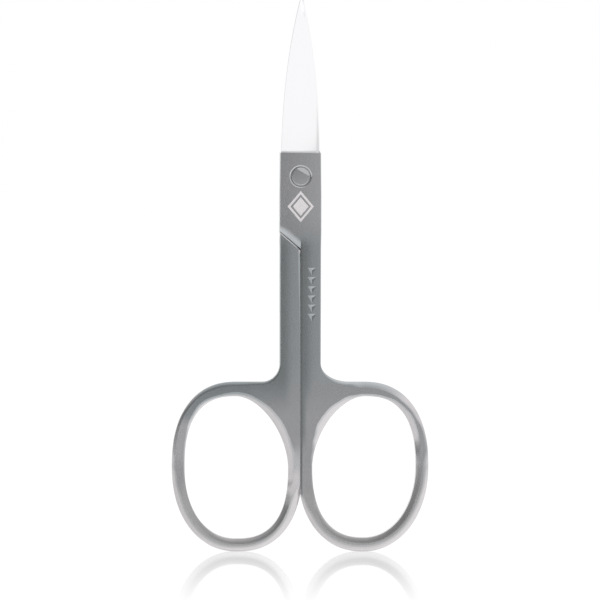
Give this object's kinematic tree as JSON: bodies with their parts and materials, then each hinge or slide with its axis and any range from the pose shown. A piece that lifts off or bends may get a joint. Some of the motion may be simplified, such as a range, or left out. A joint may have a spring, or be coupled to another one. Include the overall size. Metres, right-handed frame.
{
  "type": "nail scissors",
  "caption": "Curved nail scissors: forged steel halves with tapered polished blades and oval finger rings, turning on a flat-headed rivet.",
  "frame": {"origin": "the rivet's axis where it meets the flat back of the closed scissors", "axes": "+Z along the closed blades towards their tips, +X to the right as the front is seen, +Y out of the flat back, along the rivet; the blades curve towards -Y"},
  "size_m": [0.042, 0.006, 0.09],
  "materials": {
    "satin_steel": "satin stainless steel, fine-brushed along the shanks and bead-smooth on the rings, with the blade above the grind line polished bright",
    "rivet_steel": "turned steel with a nearly flat satin head"
  },
  "bodies": {
    "rear": {"rear_half": "satin_steel", "pivot_rivet": "rivet_steel"},
    "front": {"front_half": "satin_steel"}
  },
  "joints": [
    {"name": "blade_pivot", "type": "hinge", "parent": "rear", "child": "front", "pos_m": [0, 0, 0], "axis": [0, -1, 0], "range_deg": [0, 124]}
  ]
}
